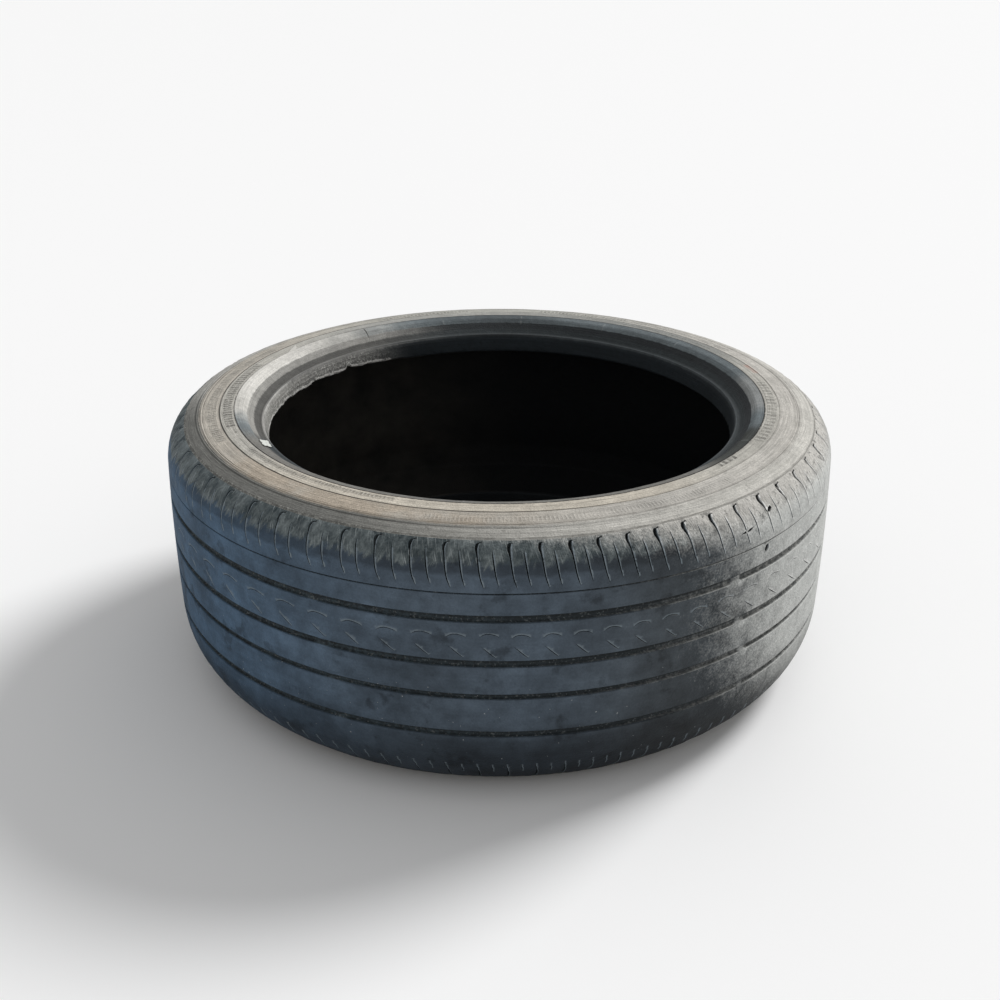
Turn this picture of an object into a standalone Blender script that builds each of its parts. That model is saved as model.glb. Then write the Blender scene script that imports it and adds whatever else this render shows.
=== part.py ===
"""Old worn car tyre lying on its side, and the scrap of white label stuck to its upper bead.

The tyre is one vulcanised piece: a C-shaped section turned about the vertical axis. The tread is
worn down to shallow grooves, slots cross both shoulders, and the toe of the upper bead is torn.
Metres, +Z up. The origin is on the axis, at the floor that the lower sidewall lies on.
Azimuths are measured round the axis from the front (-Y), positive towards +X.
Points of the section are (radius, height), with the height measured from the mid-plane.
"""

import math

import bmesh
import bpy
from mathutils import Vector

UPPER, LOWER = 1, -1

# Overall sizes: a 245/40 R18 car tyre, off its rim
OUTER_DIAMETER = 0.653
SECTION_WIDTH = 0.250
RIM_DIAMETER = 0.4572

# Tread. An edge is where the shoulder starts, measured from the mid-plane.
CROWN_RADIUS = 2.0
UPPER_TREAD_EDGE = 0.086
LOWER_TREAD_EDGE = 0.063
GROOVE_DEPTH = 0.0030
GROOVE_TAPER = 0.0006
GROOVES = ((0.0555, 0.0072), (0.0146, 0.0070), (-0.0166, 0.0058))  # middle's height, and width
LOWEST_GROOVE_INSET = 0.0095  # from the lower tread edge
LOWEST_GROOVE_WIDTH = 0.0065
FINE_GROOVE_INSET = 0.0082  # from the upper tread edge
FINE_GROOVE_WIDTH = 0.0016
FINE_GROOVE_DEPTH = 0.0016

# Shoulders. The lower one is worn rounder than the upper one.
UPPER_SHOULDER_RADIUS = 0.038
UPPER_SHOULDER_SWEEP = math.radians(55)
LOWER_SHOULDER_RADIUS = 0.072
LOWER_SHOULDER_SWEEP = math.radians(47.7)
SHOULDER_STEPS = 2

# Shoulder slots, one to each pitch of the tread pattern
PITCHES = 68
PITCH_SPREAD = 0.18
PITCH_WAVES = 3
PITCH_PHASE = math.radians(-30)
FIRST_SLOT = math.radians(1.4)
SLOT_WIDTH = 0.0016
SLOT_DEPTH_AT_EDGE = 0.0034
SLOT_DEPTH_AT_TREAD = 0.0012
UPPER_SLOT_START = math.radians(4)
LOWER_SLOT_START = math.radians(20)
SLOT_OVERRUN = 1.08  # how far a slot's end lies past the shoulder's edge, as a share of the sweep

# Sidewalls
SIDEWALL_STEP = 0.0014
SIDEWALL_RING_SHARE = 0.73  # where the raised ring lies, from the rim protector to the shoulder
SIDEWALL_CROWN = 0.0022  # how far the sidewall bulges over the straight line
PROTECTOR_HEIGHT = 0.0304  # of the rim protector's inner edge above the bead seat
PROTECTOR_LAND = 0.0060  # width of the flat land that the tyre lies on

# Beads: each point is (height above the bead seat, distance in from the rim protector's face)
FLANGE_FACE = ((0.0219, 0.0018), (0.0164, 0.0068), (0.0082, 0.0146), (0.0040, 0.0152))
HEEL = (0.0014, 0.0202)
TOE = (-0.0007, 0.0328)
INNER_BEAD = ((0.0019, 0.0354), (0.0214, 0.0215))

# Wall thickness
CROWN_THICKNESS = 0.0135
SIDEWALL_THICKNESS = 0.0092

# Torn stretch of the upper bead's toe
TEAR_FROM = math.radians(-152)
TEAR_TO = math.radians(-78)
TEAR_DEPTH = 0.0042
TEAR_NOTCH_AT = math.radians(-132)
TEAR_NOTCH_DEPTH = 0.0035
TEAR_NOTCH_SPREAD = math.radians(4)

# Scrap of label
LABEL_FROM = math.radians(-66.5)
LABEL_TO = math.radians(-59.5)
LABEL_GAP = 0.0003
LABEL_THICKNESS = 0.0005
LABEL_START_SHARE = 0.1  # of the way down the upper slope of the flange face
LABEL_END_SHARE = 0.45  # of the way across the bottom of the hollow

OUTER_RADIUS = OUTER_DIAMETER / 2
BEAD_RADIUS = RIM_DIAMETER / 2
MID_HEIGHT = SECTION_WIDTH / 2
CUTTER_MARGIN = 0.004
SHOULDERS = {  # tread edge, radius, sweep and where the slots start
    UPPER: (UPPER_TREAD_EDGE, UPPER_SHOULDER_RADIUS, UPPER_SHOULDER_SWEEP, UPPER_SLOT_START),
    LOWER: (LOWER_TREAD_EDGE, LOWER_SHOULDER_RADIUS, LOWER_SHOULDER_SWEEP, LOWER_SLOT_START),
}


def pitch_azimuth(index):
    """Azimuth of a pitch boundary. The pitches vary in length, as a real tread's do."""
    even = 2 * math.pi * (index - 0.5) / PITCHES
    wave = math.sin(PITCH_WAVES * even + PITCH_PHASE) - math.sin(PITCH_PHASE)
    return FIRST_SLOT + even - PITCH_SPREAD / PITCH_WAVES * wave


def at(azimuth, radius, height):
    """The point at this azimuth and radius, and this height above the mid-plane."""
    return Vector((radius * math.sin(azimuth), -radius * math.cos(azimuth), MID_HEIGHT + height))


def on_facet(azimuth, radius, height):
    """The point at this azimuth on the flat facet between the nearest two pitch boundaries."""
    index = max(i for i in range(-PITCHES, PITCHES) if pitch_azimuth(i) <= azimuth)
    first, following = pitch_azimuth(index), pitch_azimuth(index + 1)
    near, far = math.sin(azimuth - first), math.sin(following - azimuth)
    return at(first, radius, height).lerp(at(following, radius, height), near / (near + far))


def crown(height):
    return OUTER_RADIUS - height**2 / (2 * CROWN_RADIUS)


def shoulder(side, angle, inset=0.0):
    """A point on a shoulder's arc, which leaves the crown without a corner."""
    edge, radius, _, _ = SHOULDERS[side]
    lean = math.asin(edge / CROWN_RADIUS)
    centre_radius = crown(edge) - radius * math.cos(lean)
    centre_height = edge - radius * math.sin(lean)
    reach = radius - inset
    return (centre_radius + reach * math.cos(lean + angle),
            side * (centre_height + reach * math.sin(lean + angle)))


def shoulder_angles(side):
    sweep = SHOULDERS[side][2]
    return [sweep * i / SHOULDER_STEPS for i in range(SHOULDER_STEPS + 1)]


def bead_point(side, above_seat, inward):
    return BEAD_RADIUS + above_seat, side * (MID_HEIGHT - inward)


def side_points(side):
    """A sidewall and the outside of its bead, from the shoulder's edge to the toe."""
    edge_radius, edge_height = shoulder(side, SHOULDERS[side][2])
    step = (edge_radius - SIDEWALL_STEP / 2, edge_height + side * SIDEWALL_STEP)
    land_inner = bead_point(side, PROTECTOR_HEIGHT, 0)
    land_outer = (land_inner[0] + PROTECTOR_LAND, land_inner[1])
    share = SIDEWALL_RING_SHARE
    ring = (land_outer[0] + share * (step[0] - land_outer[0]),
            land_outer[1] + share * (step[1] - land_outer[1]) + side * SIDEWALL_CROWN)
    outside = [step, ring, land_outer, land_inner]
    return outside + [bead_point(side, *point) for point in (*FLANGE_FACE, HEEL, TOE)]


def inner_points(side):
    """The inside of one half, from the toe to the crown."""
    land_outer = side_points(side)[2]
    bead = [bead_point(side, *point) for point in INNER_BEAD]
    wall = (land_outer[0], land_outer[1] - side * SIDEWALL_THICKNESS)
    turn = shoulder(side, SHOULDERS[side][2] / 2, CROWN_THICKNESS)
    under_tread = shoulder(side, 0, CROWN_THICKNESS)
    return bead + [wall, turn, under_tread]


def groove_points(middle, width, depth, taper):
    """One groove from its upper edge to its lower one."""
    top, bottom = middle + width / 2, middle - width / 2
    if taper >= width / 2:
        return [(crown(top), top), (crown(middle) - depth, middle), (crown(bottom), bottom)]
    return [(crown(top), top), (crown(top) - depth, top - taper),
            (crown(bottom) - depth, bottom + taper), (crown(bottom), bottom)]


def section():
    """The tyre's closed section, going down the tread, round the lower bead and back inside."""
    upper_arc, lower_arc = [
        [shoulder(side, angle) for angle in shoulder_angles(side)] for side in (UPPER, LOWER)]
    tread = groove_points(UPPER_TREAD_EDGE - FINE_GROOVE_INSET, FINE_GROOVE_WIDTH,
                          FINE_GROOVE_DEPTH, FINE_GROOVE_WIDTH / 2)
    lowest = (LOWEST_GROOVE_INSET - LOWER_TREAD_EDGE, LOWEST_GROOVE_WIDTH)
    for middle, width in (*GROOVES, lowest):
        tread += groove_points(middle, width, GROOVE_DEPTH, GROOVE_TAPER)
    return (upper_arc[::-1] + tread + lower_arc + side_points(LOWER) + inner_points(LOWER)
            + inner_points(UPPER)[::-1] + side_points(UPPER)[::-1])


def tear(azimuth):
    """How far the toe of the upper bead is torn back at this azimuth."""
    if not TEAR_FROM < azimuth < TEAR_TO:
        return 0.0
    window = math.sin(math.pi * (azimuth - TEAR_FROM) / (TEAR_TO - TEAR_FROM)) ** 0.5
    ragged = 0.5 + 0.3 * math.sin(23 * azimuth) + 0.2 * math.sin(51 * azimuth + 1)
    off = (azimuth - TEAR_NOTCH_AT) / TEAR_NOTCH_SPREAD
    return window * TEAR_DEPTH * ragged + TEAR_NOTCH_DEPTH * math.exp(-off * off)


def material(name, colour, roughness):
    made = bpy.data.materials.new(name)
    made.use_nodes = True
    shader = made.node_tree.nodes["Principled BSDF"]
    shader.inputs["Base Color"].default_value = (*colour, 1)
    shader.inputs["Roughness"].default_value = roughness
    shader.inputs["Metallic"].default_value = 0
    return made


def add_object(name, bm, look=None):
    bmesh.ops.recalc_face_normals(bm, faces=bm.faces)
    mesh = bpy.data.meshes.new(name)
    bm.to_mesh(mesh)
    bm.free()
    made = bpy.data.objects.new(name, mesh)
    bpy.context.scene.collection.objects.link(made)
    if look:
        mesh.materials.append(look)
        mesh.shade_smooth()
        mesh.set_sharp_from_angle(angle=math.radians(30))
    return made


def skinned(outlines, closed):
    """Skins outlines, each a list of points, into a tube. An open one gets flat ends."""
    bm = bmesh.new()
    rings = [[bm.verts.new(point) for point in outline] for outline in outlines]
    count = len(rings[0])
    for i in range(len(rings) if closed else len(rings) - 1):
        ring, following = rings[i], rings[(i + 1) % len(rings)]
        for j in range(count):
            k = (j + 1) % count
            bm.faces.new((ring[j], following[j], following[k], ring[k]))
    if not closed:
        bm.faces.new(rings[0][::-1])
        bm.faces.new(rings[-1])
    return bm, rings


def tear_toe(bm, rings, profile):
    """Lifts the toe and the inner bead beside it where the rubber is torn."""
    toe, inner = bead_point(UPPER, *TOE), bead_point(UPPER, *INNER_BEAD[0])
    for index, ring in enumerate(rings):
        azimuth = pitch_azimuth(index)
        azimuth = azimuth - 2 * math.pi if azimuth > math.pi else azimuth
        for point in (toe, inner):
            ring[profile.index(point)].co.z += tear(azimuth)
    bmesh.ops.connect_verts_nonplanar(bm, angle_limit=math.radians(0.5), faces=bm.faces)


def slot_outline(side):
    """The section of a slot cutter: a band across the shoulder, deeper towards the sidewall.

    It bends where the faceted shoulder does, so that its depth is measured from the facets.
    """
    start = SHOULDERS[side][3]
    bends = [angle for angle in shoulder_angles(side)[:-1] if angle > start]
    end = SHOULDERS[side][2] * SLOT_OVERRUN
    floor, air = [], []
    for angle in (start, *bends, end):
        share = (angle - start) / (end - start)
        depth = SLOT_DEPTH_AT_TREAD + share * (SLOT_DEPTH_AT_EDGE - SLOT_DEPTH_AT_TREAD)
        floor.append(shoulder(side, angle, depth))
        air.append(shoulder(side, angle, -CUTTER_MARGIN))
    return floor + air[::-1]


def slot_cutters():
    """One thin cutter for each pitch on the upper and on the lower shoulder."""
    bm = bmesh.new()
    for index in range(PITCHES):
        azimuth = (pitch_azimuth(index) + pitch_azimuth(index + 1)) / 2
        across = Vector((math.cos(azimuth), math.sin(azimuth), 0)) * SLOT_WIDTH
        for side in (UPPER, LOWER):
            base = [bm.verts.new(at(azimuth, *point) - across / 2) for point in slot_outline(side)]
            face = bm.faces.new(base)
            moved = bmesh.ops.extrude_face_region(bm, geom=[face])["geom"]
            corners = [v for v in moved if isinstance(v, bmesh.types.BMVert)]
            bmesh.ops.translate(bm, verts=corners, vec=across)
    return bm


def build_tyre():
    profile = section()
    outlines = [[at(pitch_azimuth(index), *point) for point in profile] for index in range(PITCHES)]
    bm, rings = skinned(outlines, closed=True)
    tear_toe(bm, rings, profile)
    tyre = add_object("tyre", bm, material("worn_rubber", (0.055, 0.062, 0.070), 0.85))
    cutters = add_object("slot_cutters", slot_cutters())
    cutters.hide_render = True
    cutters.display_type = "WIRE"
    cut = tyre.modifiers.new("shoulder_slots", "BOOLEAN")
    cut.operation = "DIFFERENCE"
    cut.solver = "EXACT"
    cut.object = cutters
    return tyre


def offset_line(points, distance):
    """These points of the section moved out of the rubber by this distance."""
    moved = []
    for i, (radius, height) in enumerate(points):
        before, after = points[max(i - 1, 0)], points[min(i + 1, len(points) - 1)]
        along = Vector((after[0] - before[0], after[1] - before[1])).normalized()
        moved.append((radius + along.y * distance, height - along.x * distance))
    return moved


def build_label_scrap():
    """A scrap of label on the flange face of the upper bead, from its upper slope to the hollow."""
    face, slope, hollow, ridge = [Vector(bead_point(UPPER, *point)) for point in FLANGE_FACE]
    first, last = face.lerp(slope, LABEL_START_SHARE), hollow.lerp(ridge, LABEL_END_SHARE)
    bead = [tuple(point) for point in (first, slope, hollow, last)]
    outline = offset_line(bead, LABEL_GAP) + offset_line(bead, LABEL_GAP + LABEL_THICKNESS)[::-1]
    boundaries = [pitch_azimuth(index) for index in range(-PITCHES, PITCHES)]
    bends = [azimuth for azimuth in boundaries if LABEL_FROM < azimuth < LABEL_TO]
    outlines = [[on_facet(azimuth, *point) for point in outline]
                for azimuth in (LABEL_FROM, *bends, LABEL_TO)]
    bm, _ = skinned(outlines, closed=False)
    return add_object("label_scrap", bm, material("label_white", (0.82, 0.83, 0.80), 0.6))


def main():
    for old in list(bpy.data.objects):
        bpy.data.objects.remove(old)
    build_tyre()
    build_label_scrap()


main()
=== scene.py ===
"""An old worn car tyre lying on its side, with a scrap of white label on its upper bead.

The tyre's surface is made one tread pitch at a time. Each pitch is a flat sheet, measured round the
tyre and along its section, that is triangulated with the pattern's sipes and notches as its edges.
The sheets are then wrapped round the section, joined, worn and torn.
Lengths of the section are in millimetres, and those in the scene in metres.
Azimuths are in radians from the front (-Y), positive towards +X, or in degrees where a name says so.
Heights are measured from the tyre's mid-plane.
"""

import math

import bpy
import numpy as np
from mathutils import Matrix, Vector, noise
from mathutils.geometry import delaunay_2d_cdt


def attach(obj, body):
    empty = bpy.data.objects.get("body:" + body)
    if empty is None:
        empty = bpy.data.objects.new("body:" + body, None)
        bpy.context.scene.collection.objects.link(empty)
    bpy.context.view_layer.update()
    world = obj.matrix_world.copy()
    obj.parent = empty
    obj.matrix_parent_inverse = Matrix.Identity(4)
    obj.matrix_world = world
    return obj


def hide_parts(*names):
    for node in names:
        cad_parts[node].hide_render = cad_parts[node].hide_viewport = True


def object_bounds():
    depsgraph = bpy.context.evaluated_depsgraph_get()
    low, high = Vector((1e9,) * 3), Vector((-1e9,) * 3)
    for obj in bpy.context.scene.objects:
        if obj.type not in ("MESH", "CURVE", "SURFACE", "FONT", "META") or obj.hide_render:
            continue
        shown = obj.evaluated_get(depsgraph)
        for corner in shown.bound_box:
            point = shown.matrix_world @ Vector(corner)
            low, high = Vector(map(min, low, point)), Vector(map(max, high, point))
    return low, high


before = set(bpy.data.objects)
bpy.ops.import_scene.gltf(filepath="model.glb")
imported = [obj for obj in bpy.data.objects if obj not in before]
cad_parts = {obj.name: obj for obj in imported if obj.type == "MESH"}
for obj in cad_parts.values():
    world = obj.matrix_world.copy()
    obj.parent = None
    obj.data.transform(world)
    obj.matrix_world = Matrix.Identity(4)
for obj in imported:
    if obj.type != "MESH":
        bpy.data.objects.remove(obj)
cad_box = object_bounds()

# Section sizes, in millimetres
UPPER, LOWER = 1, -1
OUTER_RADIUS = 326.5
CROWN_RADIUS = 2000.0
CROWN_THICKNESS = 13.5
MID_HEIGHT = 125.0
SHOULDERS = {UPPER: (86.0, 38.0, 55.0), LOWER: (63.0, 72.0, 47.7)}  # tread edge, radius, sweep
GROOVES = ((55.5, 7.2), (14.6, 7.0), (-16.6, 5.8), (-53.5, 6.5))  # middle's height, and width
GROOVE_DEPTH = 3.0
GROOVE_TAPER = 0.9
FINE_GROOVE = (77.8, 1.5, 1.5)  # middle's height, width and depth
# A cut darkens with its depth, as painted shade, and is darkest from FULL_CUT down
FULL_CUT = 1.5  # depth from which a cut is as dark as it gets
LIPS = (0.6, 1.0)  # how much the rubber is raised and rubbed on either side of a cut
CUT_CLEARANCE = 0.75  # grid points keep this far from a cut
SHARP_ANGLE = math.radians(38)

# Sidewall rings: how far in from the shoulder's edge the wall starts to fall away
RING_INSET = 14.0
INNER_RING_RADIUS = 273.0
LAND_RADIUS = 259.0
RIM_FROM = 303.0  # the chipped edge between the sidewall and the shoulder starts here

# Pitches of the tread pattern
PITCHES = 68
PITCH_SPREAD = 0.18
PITCH_WAVES = 3
PITCH_PHASE = math.radians(-30)
FIRST_SLOT = math.radians(1.4)
TILE_SHIFT = 0.25
MEAN_PITCH = 24.0  # the pitch length for which the pattern's sizes are given

# Wear bars in the grooves, in degrees and millimetres
WEAR_BARS = (-144, -85, -26, 39, 98, 157)
WEAR_BAR_STAGGER = (-1.8, -0.6, 0.8, 1.4)
WEAR_BAR_HALF = 5.0
WEAR_BAR_HEIGHT = 1.9

# Torn stretch of the upper toe, with one deep notch. Its rows below TORN_BELOW have more columns.
TEAR_FROM, TEAR_TO = math.radians(-152), math.radians(-78)
TEAR_NOTCH, TEAR_NOTCH_HALF, TEAR_NOTCH_DEPTH = math.radians(-132.7), math.radians(0.8), 6.5
TOE_RADIUS = 228
TORN_COLUMNS, TORN_BELOW = 24, 112

# Label scrap: azimuth in degrees and radius of its corners, along its outer and its inner edge
LABEL_OUTER = ((-62.3, 248.3), (-57.4, 251.3))
LABEL_INNER = ((-67.3, 235.2), (-62.9, 235.7))
LABEL_THICKNESS = 0.35
LABEL_LIFT = 0.45
LABEL_COLUMNS, LABEL_ROWS = 36, 28

# The side that faces the key light is pale with dust and painted sunlight
SUN_AZIMUTH, SUNWARD_ELEVATION = math.radians(129), math.radians(36)
SUNWARD_TILT = 0.25  # how much it counts that a surface looks up


def spun(radius, azimuth, height):
    """The point, or a row for each point, at this radius, azimuth and height."""
    return np.stack([radius * np.sin(azimuth), -radius * np.cos(azimuth), height], axis=-1)


def direction(azimuth, elevation):
    return Vector(spun(math.cos(elevation), azimuth, math.sin(elevation)))


def pitch_azimuth(index):
    even = 2 * math.pi * (index - 0.5) / PITCHES
    wave = math.sin(PITCH_WAVES * even + PITCH_PHASE) - math.sin(PITCH_PHASE)
    return FIRST_SLOT + even - PITCH_SPREAD / PITCH_WAVES * wave


def crown(height):
    return OUTER_RADIUS - height**2 / (2 * CROWN_RADIUS)


def shoulder(side, angle, inset=0.0):
    """A point on a shoulder's arc. angle is in degrees past the tread's edge."""
    edge, radius, _ = SHOULDERS[side]
    lean = math.asin(edge / CROWN_RADIUS)
    turn, reach = lean + math.radians(angle), radius - inset
    return (crown(edge) - radius * math.cos(lean) + reach * math.cos(turn),
            side * (edge - radius * math.sin(lean) + reach * math.sin(turn)))


def filleted(corners):
    """A polyline through (radius, height, fillet, steps) corners, each rounded by its fillet."""
    out = []
    for i, (x, y, radius, steps) in enumerate(corners):
        here = Vector((x, y))
        if not radius or i in (0, len(corners) - 1):
            out.append((x, y))
            continue
        back = Vector(corners[i - 1][:2]) - here
        on = Vector(corners[i + 1][:2]) - here
        half_angle = back.angle(on) / 2
        cut = min(radius / math.tan(half_angle), back.length * 0.48, on.length * 0.48)
        start, end = here + back.normalized() * cut, here + on.normalized() * cut
        for k in range(steps + 1):
            t = k / steps
            point = start * (1 - t) ** 2 + here * 2 * t * (1 - t) + end * t * t
            out.append((point.x, point.y))
    return out


def resampled(points, step):
    """The same polyline with extra points wherever two lie further apart than step."""
    out = [points[0]]
    for a, b in zip(points, points[1:]):
        count = max(1, math.ceil(math.dist(a, b) / step))
        out += [(a[0] + (b[0] - a[0]) * k / count, a[1] + (b[1] - a[1]) * k / count)
                for k in range(1, count + 1)]
    return out


def ring_line(radius, width, rise, base):
    """A thin raised or sunk line round the sidewall, on the wall line base(radius)."""
    half_width = width / 2
    inner, outer = radius - half_width * 1.5, radius + half_width * 1.5
    return [(inner, base(inner)), (radius - half_width * 0.6, base(radius) + rise),
            (radius + half_width * 0.6, base(radius) + rise), (outer, base(outer))]


def half(side, step):
    """One side from the inside of the crown round the bead and up to the shoulder, in three runs."""
    sweep = SHOULDERS[side][2]
    edge, under, turn = [(point[0], abs(point[1])) for point in (
        shoulder(side, sweep), shoulder(side, 0, CROWN_THICKNESS),
        shoulder(side, sweep / 2, CROWN_THICKNESS))]
    inside = filleted([(311.6, 0, 0, 0), (*under, 9, 3), (*turn, 9, 3), (265, 115.8, 12, 3),
                       (250, 103.5, 6, 2), (230.5, 89.6, 1.2, 2), (229.2, 90.9, 0, 0)])
    bead = filleted([(229.2, 90.9, 0, 0), (227.9, 92.2, 0.7, 2), (230.0, 104.8, 2.2, 3),
                     (232.4, 109.9, 1.0, 3), (236.4, 110.2, 3.6, 3), (244.2, 117.2, 1.6, 3),
                     (251.2, 123.4, 6, 3), (LAND_RADIUS, 125.0, 0, 0)])
    ring = edge[0] - RING_INSET
    rim = (edge[0] - 1.5, edge[1] + 1.2)

    def wall(radius):
        if radius < ring:
            share = (radius - 265.0) / (ring - 265.0)
            return 125.0 - 3.3 * share + 0.3 * math.sin(share * math.pi)
        return 121.7 - ((radius - ring) / (rim[0] - ring)) ** 1.25 * (121.7 - rim[1])

    def run(start, end):
        count = max(1, round((end - start) / step))
        return [(start + (end - start) * k / count, wall(start + (end - start) * k / count))
                for k in range(count + 1)]

    land = [(LAND_RADIUS, 124.3), (259.35, 124.85), (260.2, 125.0), (264.3, 125.0), (265.2, 124.6),
            (266.2, wall(266.2))]
    flank = (land + run(267.2, 271.8) + ring_line(INNER_RING_RADIUS, 0.9, -0.45, wall)
             + run(274.8, ring - 4.4) + ring_line(ring - 2.8, 0.9, 0.35, wall)
             + run(ring - 1.6, ring + 0.2) + ring_line(ring + 1.4, 0.9, 0.35, wall)
             + run(ring + 3.0, rim[0] - 0.6) + [rim, (rim[0] + 0.4, rim[1] - 0.9), edge])
    return [[(radius, side * height) for radius, height in points] for points in (inside, bead, flank)]


def groove_points(middle, width):
    top, bottom = middle + width / 2, middle - width / 2
    return [(crown(top), top), (crown(top) - GROOVE_DEPTH, top - GROOVE_TAPER),
            (crown(middle) - GROOVE_DEPTH - 0.1, middle),
            (crown(bottom) - GROOVE_DEPTH, bottom + GROOVE_TAPER), (crown(bottom), bottom)]


class Section:
    """The closed section: rows of (radius, height) with their place along it, zone and columns."""

    def __init__(self):
        self.rows, self.zone, self.fixed, self.columns = [], [], [], []

    def add(self, points, zone, columns, fixed=False):
        """Adds rows, fixed where faces may not cross them: if told so, and where the zone changes."""
        for point in points:
            if self.rows and math.dist(self.rows[-1], point) < 1e-6:
                self.fixed[-1] = self.fixed[-1] or fixed or zone != self.zone[-1]
                continue
            if self.rows and zone != self.zone[-1]:
                self.fixed[-1] = True
            self.rows.append(point)
            self.zone.append(zone)
            self.fixed.append(fixed)
            self.columns.append(columns)

    def close(self):
        steps = [math.dist(a, b) for a, b in zip(self.rows, self.rows[1:])]
        self.place = np.concatenate([[0], np.cumsum(steps)])
        points = np.array(self.rows)
        along = np.diff(points, axis=0)
        along /= np.linalg.norm(along, axis=1)[:, None]
        joined = np.vstack([along[-1:] + along[:1], along[:-1] + along[1:], along[-1:] + along[:1]])
        joined /= np.linalg.norm(joined, axis=1)[:, None]
        self.radius, self.height = points.T
        self.out = np.stack([-joined[:, 1], joined[:, 0]], axis=1)

    def at(self, place):
        """Radius, height and both parts of the outward direction at these places."""
        return [np.interp(place, self.place, row) for row in (self.radius, self.height, *self.out.T)]

    def start(self, zone):
        """Place of the row at which this zone starts, which is the last row of the one before."""
        return self.place[max(self.zone.index(zone) - 1, 0)]

    def at_height(self, height):
        """Place along the section of this height on the tread's surface or its shoulders."""
        order = [i for i, z in enumerate(self.zone) if z == "tread"]
        heights = np.array([self.rows[i][1] for i in order])
        return float(np.interp(-height, -heights, self.place[order]))

    def at_radius(self, radius):
        """Place along the upper bead's face, from its ridge to the land, of this radius."""
        order = [i for i, z in enumerate(self.zone) if z == "bead" and self.rows[i][1] > 105]
        return float(np.interp(radius, [self.rows[i][0] for i in order], self.place[order]))


def build_section():
    section = Section()
    inside, bead, flank = half(UPPER, 2.0)
    section.add(resampled(inside, 20), "liner", 3)
    section.add(resampled(bead, 2.4), "bead", 5)
    section.add([point for point in flank if point[0] < RIM_FROM], "side", 3, fixed=True)
    section.add([point for point in flank if point[0] >= RIM_FROM], "side", 7, fixed=True)
    upper_edge, _, upper_sweep = SHOULDERS[UPPER]
    section.add([shoulder(UPPER, upper_sweep * (1 - k / 15)) for k in range(16)], "tread", 9)

    def rib(top, bottom):
        count = max(1, math.ceil((top - bottom) / 8))
        heights = [top + (bottom - top) * k / count for k in range(count + 1)]
        section.add([(crown(h), h) for h in heights], "tread", 5)

    middle, width, depth = FINE_GROOVE
    upper_lip, lower_lip = middle + width / 2, middle - width / 2
    rib(upper_edge, upper_lip)
    section.add([(crown(middle) - depth, middle)], "floor", 5, fixed=True)
    top = lower_lip
    for middle, width in GROOVES:
        rib(top, middle + width / 2)
        section.add(groove_points(middle, width)[1:4], "floor", 8, fixed=True)
        top = middle - width / 2
    lower_edge, _, lower_sweep = SHOULDERS[LOWER]
    rib(top, -lower_edge)
    section.add([shoulder(LOWER, lower_sweep * k / 15) for k in range(16)], "tread", 6)
    inside, bead, flank = half(LOWER, 4.0)
    section.add(flank[::-1], "low_side", 3, fixed=True)
    section.add(resampled(bead[::-1], 4), "low_bead", 3)
    section.add(resampled(inside[::-1], 20), "low_liner", 3)
    section.close()
    return section


class Sheet:
    """Points, edges and depths of one pitch, flat, before it is triangulated."""

    def __init__(self, length):
        self.length = length
        self.points, self.marks, self.edges, self.keys = [], [], [], []
        self.paths = []

    def point(self, s, v, depth=0.0, lip=0.0, key=None):
        self.points.append((s, v))
        self.marks.append((depth, lip))
        self.keys.append(key)
        return len(self.points) - 1

    def cut(self, path):
        """A V-shaped cut along path, a list of (s, v, half width, depth)."""
        last = None
        for i, (s, v, half_width, depth) in enumerate(path):
            before, after = path[max(i - 1, 0)], path[min(i + 1, len(path) - 1)]
            ds, dv = after[0] - before[0], after[1] - before[1]
            size = math.hypot(ds, dv)
            ns, nv = -dv / size * half_width, ds / size * half_width
            if half_width:
                trio = [self.point(s + ns, v + nv, lip=LIPS[0]), self.point(s, v, depth),
                        self.point(s - ns, v - nv, lip=LIPS[1])]
            else:
                trio = [self.point(s, v, depth)] * 3
            if last:
                self.edges += list(zip(last, trio))
            last = trio
        self.paths.append(path)

    def clear(self, s, v):
        """Whether a grid point at (s, v) is clear of every cut."""
        for path in self.paths:
            if not min(p[1] for p in path) - 2 < v < max(p[1] for p in path) + 2:
                continue
            for a, b in zip(path, path[1:]):
                ds, dv = b[0] - a[0], b[1] - a[1]
                t = ((s - a[0]) * ds + (v - a[1]) * dv) / (ds * ds + dv * dv)
                t = min(max(t, 0), 1)
                reach = max(a[2], b[2]) + CUT_CLEARANCE
                if math.hypot(s - a[0] - t * ds, v - a[1] - t * dv) < reach:
                    return False
        return True


def smooth_path(stations, count):
    """Resamples (s, v, half width, depth) stations along a smooth curve through them."""
    stations = np.array(stations, float)
    t = np.arange(len(stations))
    fine = np.linspace(0, len(stations) - 1, count)
    out = []
    for column in range(4):
        values = stations[:, column]
        slope = np.gradient(values)
        k = np.minimum(fine.astype(int), len(stations) - 2)
        f = fine - k
        h00, h10 = 2 * f**3 - 3 * f**2 + 1, f**3 - 2 * f**2 + f
        h01, h11 = -2 * f**3 + 3 * f**2, f**3 - f**2
        smooth = h00 * values[k] + h10 * slope[k] + h01 * values[k + 1] + h11 * slope[k + 1]
        out.append(smooth if column < 2 else np.interp(fine, t, values))
    return [tuple(row) for row in np.array(out).T]


# Notches gape more on one side of the tyre, where their half width is over GAPING
GAPE_AZIMUTH, GAPE, GAPE_SPREAD = math.radians(85), 1.3, 0.5
GAPING = 0.7

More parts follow.
